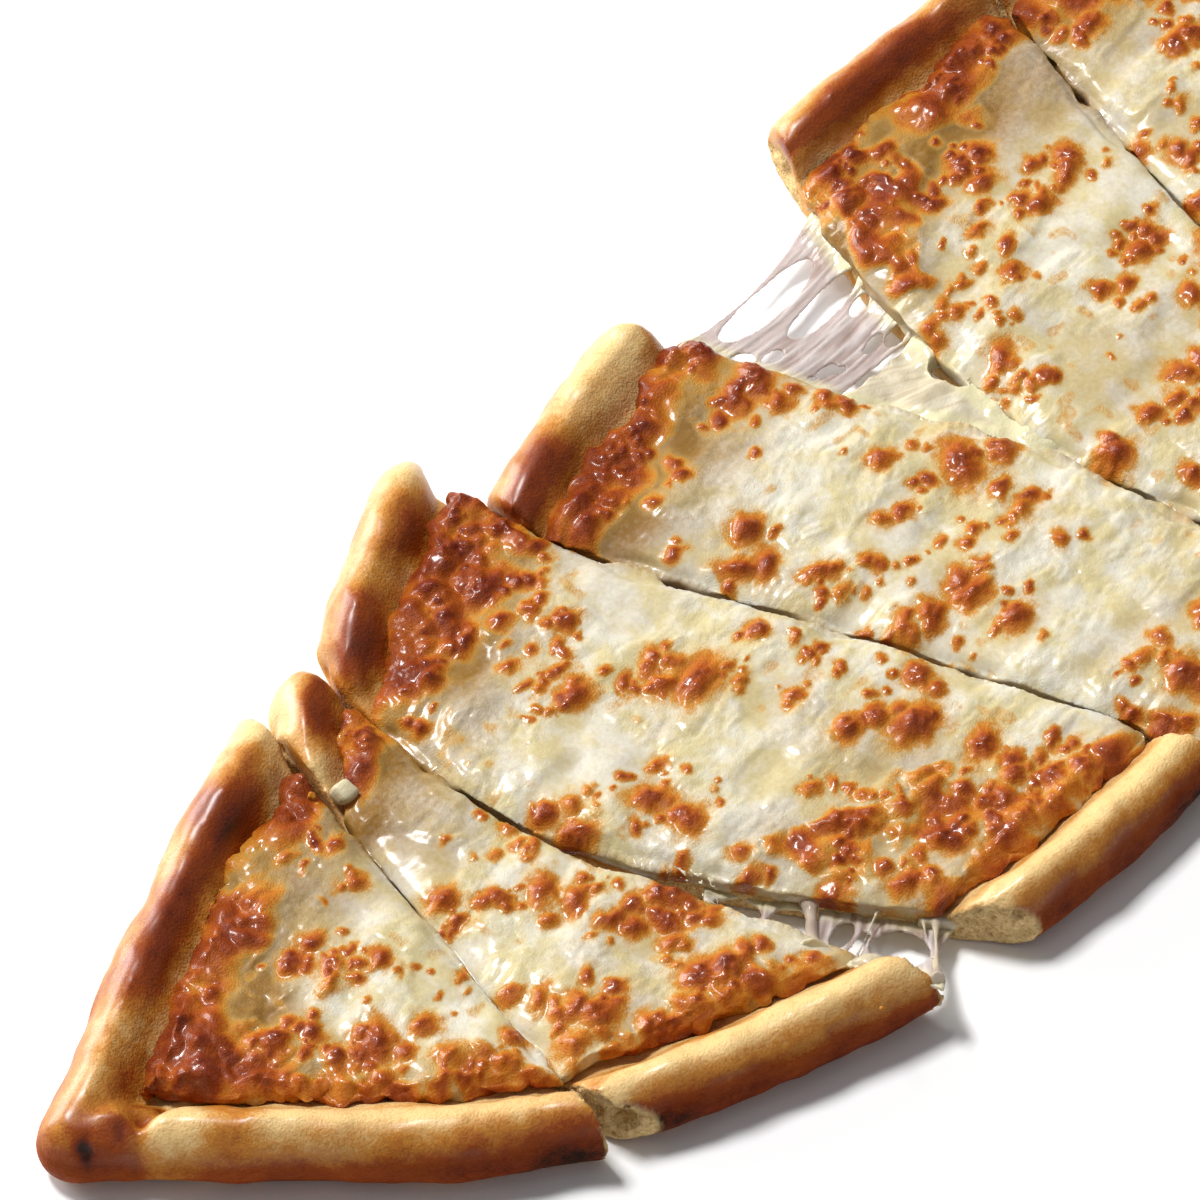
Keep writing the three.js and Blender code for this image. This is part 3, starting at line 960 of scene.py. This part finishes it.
def bands(start, rings, sides):
    """Faces between rings of points that follow each other from an index on."""
    for i, k in itertools.product(range(rings - 1), range(sides)):
        low, beside = start + i * sides, (k + 1) % sides
        yield low + k, low + beside, low + sides + beside, low + sides + k


def tube(path, radii):
    """A closed round tube along a path of frame places."""
    points = []
    for i, (place, radius) in enumerate(zip(path, radii)):
        way = path[min(i + 1, len(path) - 1)] - path[max(i - 1, 0)]
        way /= np.linalg.norm(way)
        across = np.cross(way, (0, 0, 1))
        across /= np.linalg.norm(across)
        points.extend(ring(place, radius * across, radius * np.cross(across, way), TUBE_SIDES))
    ends = range(TUBE_SIDES)[::-1], range(len(points) - TUBE_SIDES, len(points))
    return points, [*bands(0, len(path), TUBE_SIDES), *ends]


def neck(start, end, flare, waist, sag=0.8, steps=18):
    """Cheese drawn out between two places, wide where it leaves them and thin at its waist."""
    a, b = in_frame(*start), in_frame(*end)
    share = np.linspace(0, 1, steps)
    path = a + (b - a) * share[:, None]
    path[:, 2] -= sag * np.sin(math.pi * share)
    return tube(path, waist + (flare - waist) * np.abs(2 * share - 1) ** 3.2)


def lump(x, y, z, half_x, half_y, half_z):
    """A rounded lump, its first axis along the layout's first one."""
    centre = in_frame(x, y, z)
    first = half_x * (in_frame(x + 1, y, z) - centre)
    second = half_y * (in_frame(x, y + 1, z) - centre)
    points = [centre - (0, 0, half_z)]
    for i in range(1, LUMP_RINGS):
        turn = math.pi * i / LUMP_RINGS
        level, width = centre - (0, 0, half_z * math.cos(turn)), math.sin(turn)
        points.extend(ring(level, width * first, width * second, LUMP_SIDES))
    points.append(centre + (0, 0, half_z))
    faces = list(bands(1, LUMP_RINGS - 1, LUMP_SIDES))
    last = len(points) - 1 - LUMP_SIDES
    for k in range(LUMP_SIDES):
        beside = (k + 1) % LUMP_SIDES
        faces += [(0, 1 + beside, 1 + k), (last + k, last + beside, len(points) - 1)]
    return points, faces


def along_places(places, shares):
    """Places at some shares of the way along a list of layout places."""
    steps = np.linspace(0, 1, len(places))
    return np.stack([np.interp(shares, steps, column) for column in np.transpose(places)], axis=1)


def in_layout(points):
    """The layout's plan of some frame points."""
    axes = np.array([in_frame(1, 0), in_frame(0, 1)]) - in_frame(0, 0)
    return (points - in_frame(0, 0)) @ axes.T


def turned(plan, degrees):
    """Plan places measured along and across a direction."""
    turn = math.radians(degrees)
    cos, sin = math.cos(turn), math.sin(turn)
    return plan @ np.array([cos, sin]), plan @ np.array([-sin, cos])


def make_sheet(sheet, settings):
    """A sagging sheet of pulled fibres between two slices, torn open along them."""
    near_line, far_line, seed = sheet["near"], sheet["far"], sheet["seed"]
    wide = np.linalg.norm(np.subtract(near_line[-1], near_line[0]))
    long = max(np.linalg.norm(np.subtract(near_line[i], far_line[i])) for i in (0, -1))
    deselect_all()
    bpy.ops.mesh.primitive_grid_add(
        x_subdivisions=int(wide / SHEET_STEP), y_subdivisions=int(long / SHEET_STEP), size=1
    )
    piece = bpy.context.object
    piece.name = piece.data.name = sheet["name"]
    share = read(piece)[0] * MM + 0.5
    across, along = share[:, 0], share[:, 1] * (1 + 2 * SHEET_OVERLAP) - SHEET_OVERLAP
    hang = np.sin(math.pi * np.clip(along, 0, 1)) ** 0.7
    pulled = 0.5 + (across - 0.5) * (1 - sheet["waist"] * hang)
    near, far = along_places(near_line, pulled), along_places(far_line, pulled)
    placed = near + (far - near) * along[:, None]
    ragged = layered(placed, (1, 2.6, seed), (0.5, 1.2, seed + 1))
    placed[:, 2] += 0.2 * ragged - sheet["sag"] * hang

    open_ = np.zeros(len(placed), dtype=bool)
    for *centre, half_length, half_width, degrees in sheet["holes"]:
        length_way, width_way = turned(placed[:, :2] - centre, degrees)
        open_ |= np.abs(length_way / half_length) ** 2.3 + ((width_way + 0.22 * ragged) / half_width) ** 2 < 1
    write(piece, np.array([in_frame(*place) for place in placed]))
    edit_chosen(piece, "VERT", open_, (bpy.ops.mesh.delete, {"type": "VERT"}))
    apply_modifier(piece, "SMOOTH", factor=0.5, iterations=8)
    apply_modifier(piece, "SOLIDIFY", thickness=sheet["thickness"] * MM, offset=0.0)
    edit_all(piece, (bpy.ops.mesh.normals_make_consistent, {"inside": False}))
    remesh(piece, settings.spacing, rounds=5)

    points, normals = read(piece)
    way, side = turned(in_layout(points), sheet["grain"])
    fibres = np.stack([side, way / 12, 0 * way], axis=1)
    strand = layered(fibres, (1, 0.9, seed + 2), (0.8, 0.5, seed + 3))
    bulk = layered(points, (1, 4.2, seed + 4), (0.25, 1.9, seed + 5))
    relief = sheet["relief"] * (strand if sheet["thickness"] < 1 else bulk)
    write(piece, points + normals * relief[:, None])
    from_ends = nearest_on(stretches(near_line) + stretches(far_line), points)[0]
    body = ease(4.0, 0.5, from_ends) * (0.75 + 0.5 * waves(points, 3, seed + 6))
    paint(piece, body=body + 0.6 * ease(0.8, 2.5, sheet["thickness"]), streak=0.5 + 0.75 * strand)
    return piece


def hairs():
    """Fine hairs of cheese across the closed end of the open cut."""
    rng = np.random.default_rng(9)
    start, end = np.array(HAIR_SPAN)
    for share in np.linspace(0, 1, HAIRS):
        x, y = start + (end - start) * share + rng.normal(0, 0.15, 2)
        lean = rng.normal(0.6, 0.5)
        yield neck((x, y + 0.8, 8.2), (x + lean, y - 5.0, 7.8), 0.35, 0.13, 0.4, 9)


def make_strings(settings):
    """The necks, lumps and hairs melted into one piece."""
    parts = [neck(*ends) for ends in NECKS] + [lump(*place) for place in STRING_LUMPS]
    piece = body_from("cheese_strings", parts + list(hairs()))
    remesh(piece, settings.spacing * 1.2, rounds=7)
    points, normals = read(piece)
    uneven = STRING_RELIEF * layered(points, (1, 2.4, 71), (0.5, 1.1, 72))
    write(piece, points + normals * uneven[:, None])
    points, _ = read(piece)
    streak = 0.25 + 0.3 * waves(points, (2, 2, 5), 74)
    paint(piece, body=0.55 + 0.5 * waves(points, 3.5, 73), streak=streak)
    return piece


# ---- Crumbs ----

CHEESE_CUBE = (-40, -43.4, 9.6, 3.4)  # place in the layout, and size
CRUMBS = [
    (-45, -44, 9.4, 1.3),
    (-44, -45.6, 9.2, 0.9),
    (-46.4, -42.4, 9.6, 0.8),
    (43, -85, 12.6, 0.6),
]


def make_morsel(name, x, y, z, size, seed):
    """A small rounded block with uneven faces."""
    deselect_all()
    place = in_frame(x, y, z) * MM
    bpy.ops.mesh.primitive_cube_add(size=size * MM, location=place, rotation=(0.3, 0.2, 0.7 * seed))
    piece = bpy.context.object
    piece.name = piece.data.name = name
    apply_modifier(piece, "BEVEL", width=size * 0.3 * MM, segments=3)
    bpy.ops.object.transform_apply(location=True, rotation=True, scale=True)
    edit_all(piece, (bpy.ops.mesh.subdivide, {"number_cuts": 3}))
    points, normals = read(piece)
    write(piece, points + normals * (0.12 * size * waves(points, size * 0.6, seed))[:, None])
    return piece


# ---- Operators ----


class PIDE_OT_crusts(Operator):
    """Make the baked crust and base of every slice"""

    bl_idname = "pide.crusts"
    bl_label = "Make Crusts"

    def execute(self, context):
        settings = context.scene.pide_crust
        material = crust_finish(settings)
        for number in SLICES:
            node = f"slice_{number}_dough"
            piece = working_copy(node, f"crust_{number}")
            remesh(piece, settings.spacing, rounds=5)
            shape_crust(piece, SlicePlan(number), settings)
            finish_piece(piece, material, "dough", node)
        return {"FINISHED"}


class PIDE_OT_cheeses(Operator):
    """Make the melted cheese layer of every slice"""

    bl_idname = "pide.cheeses"
    bl_label = "Make Cheese Layers"

    def execute(self, context):
        settings = context.scene.pide_cheese
        material = cheese_finish(settings)
        for number in SLICES:
            node = f"slice_{number}_cheese"
            piece = working_copy(node, f"melted_layer_{number}")
            remesh(piece, settings.spacing, rounds=4)
            refine_top(piece)
            shape_cheese(piece, SlicePlan(number), number, settings)
            finish_piece(piece, material, "cheese", node)
        return {"FINISHED"}


class PIDE_OT_drawn_cheese(Operator):
    """Make the web, the bridge and the strings of drawn cheese"""

    bl_idname = "pide.drawn_cheese"
    bl_label = "Make Drawn Cheese"

    def execute(self, context):
        settings = context.scene.pide_drawn
        material = drawn_finish(settings)
        for sheet in (WEB, BRIDGE, FILM):
            finish_piece(make_sheet(sheet, settings), material, "stretched", *sheet["nodes"])
        finish_piece(make_strings(settings), material, "stretched")
        return {"FINISHED"}


class PIDE_OT_crumbs(Operator):
    """Make the stray cube of cheese and the crumbs of bread"""

    bl_idname = "pide.crumbs"
    bl_label = "Make Crumbs"

    def execute(self, context):
        cheese = bpy.data.materials["drawn_cheese"]
        bread = bpy.data.materials["baked_crust"]
        cube = make_morsel("stray_cheese", *CHEESE_CUBE, 81)
        paint(cube, body=np.full(len(cube.data.vertices), 0.8))
        finish_piece(cube, cheese, "stretched")
        for i, place in enumerate(CRUMBS):
            crumb = make_morsel(f"crumb_{i + 1}", *place, 82 + i)
            paint(crumb, toast=np.full(len(crumb.data.vertices), 0.3))
            finish_piece(crumb, bread, "dough")
        return {"FINISHED"}


FLOOR_SIZE = 8  # metres
SENSOR_WIDTH = 36
WORLD_LIGHT = 0.16
# The key stands high behind the pide on the left. The edge light is low on the same side and catches
# the crusts' outer sides, and the others fill in. Each is given as how far it is to the right, away
# and up, in metres, then its size and its power.
LIGHTS = {
    "key": (-1.02, 0.82, 2.48, 0.6, 77),
    "fill": (0.9, -1.2, 1.3, 1.4, 1.2),
    "overhead": (0, 0.2, 1.9, 1.2, 1.5),
    "edge": (-1.3, 0.9, 0.45, 1, 30),
}


class PIDE_OT_stage(Operator):
    """Set up the floor, the lights and the camera"""

    bl_idname = "pide.stage"
    bl_label = "Set Up Stage"

    def execute(self, context):
        scene = context.scene
        settings = scene.pide_stage
        deselect_all()
        bpy.ops.mesh.primitive_plane_add(size=FLOOR_SIZE)
        floor = context.object
        floor.name = "floor"
        finish = Finish("floor", Roughness=0.9, Base_Color=(*settings.floor, 1))
        floor.data.materials.append(finish.material)

        target = Vector(in_frame(0, 0)) * MM
        away = Vector((math.sin(LAYOUT_TURN), math.cos(LAYOUT_TURN), 0))
        right = Vector((math.cos(LAYOUT_TURN), -math.sin(LAYOUT_TURN), 0))
        up = Vector((0, 0, 1))
        camera = add_object("camera", bpy.data.cameras.new("camera"))
        camera.data.lens = settings.lens
        camera.data.sensor_width = SENSOR_WIDTH
        back = math.cos(settings.elevation) * settings.distance
        camera.location = target - away * back + up * math.sin(settings.elevation) * settings.distance
        camera.rotation_euler = (target - camera.location).to_track_quat("-Z", "Y").to_euler()
        scene.camera = camera

        for name, (to_right, to_back, to_top, size, power) in LIGHTS.items():
            offset = to_right * right + to_back * away + to_top * up
            light = add_object(name, bpy.data.lights.new(name, "AREA"))
            light.data.size = size
            light.data.energy = power
            light.location = target + offset
            light.rotation_euler = (-offset).to_track_quat("-Z", "Y").to_euler()
        world = bpy.data.worlds.new("studio")
        world.use_nodes = True
        background = world.node_tree.nodes["Background"]
        background.inputs["Color"].default_value = (1, 1, 1, 1)
        background.inputs["Strength"].default_value = WORLD_LIGHT
        scene.world = world
        scene.view_settings.view_transform = "Standard"
        return {"FINISHED"}


class PIDE_PT_panel(Panel):
    bl_label = "Sliced Cheese Pide"
    bl_space_type = "VIEW_3D"
    bl_region_type = "UI"
    bl_category = "Pide"

    def draw(self, context):
        for name in GROUPS:
            group = getattr(context.scene, name)
            box = self.layout.box()
            for key in group.__annotations__:
                box.prop(group, key)
        for operator in STEPS:
            self.layout.operator(operator.bl_idname)


GROUPS = {
    "pide_crust": PideCrustSettings,
    "pide_cheese": PideCheeseSettings,
    "pide_drawn": PideDrawnSettings,
    "pide_stage": PideStageSettings,
}
STEPS = (PIDE_OT_crusts, PIDE_OT_cheeses, PIDE_OT_drawn_cheese, PIDE_OT_crumbs, PIDE_OT_stage)
CLASSES = (*GROUPS.values(), *STEPS, PIDE_PT_panel)


def register():
    for cls in CLASSES:
        bpy.utils.register_class(cls)
    for name, group in GROUPS.items():
        setattr(bpy.types.Scene, name, PointerProperty(type=group))


def unregister():
    for name in GROUPS:
        delattr(bpy.types.Scene, name)
    for cls in reversed(CLASSES):
        bpy.utils.unregister_class(cls)


def main():
    register()
    deselect_all()
    bpy.ops.pide.crusts()
    bpy.ops.pide.cheeses()
    bpy.ops.pide.drawn_cheese()
    bpy.ops.pide.crumbs()
    bpy.ops.pide.stage()


if __name__ == "__main__":
    main()
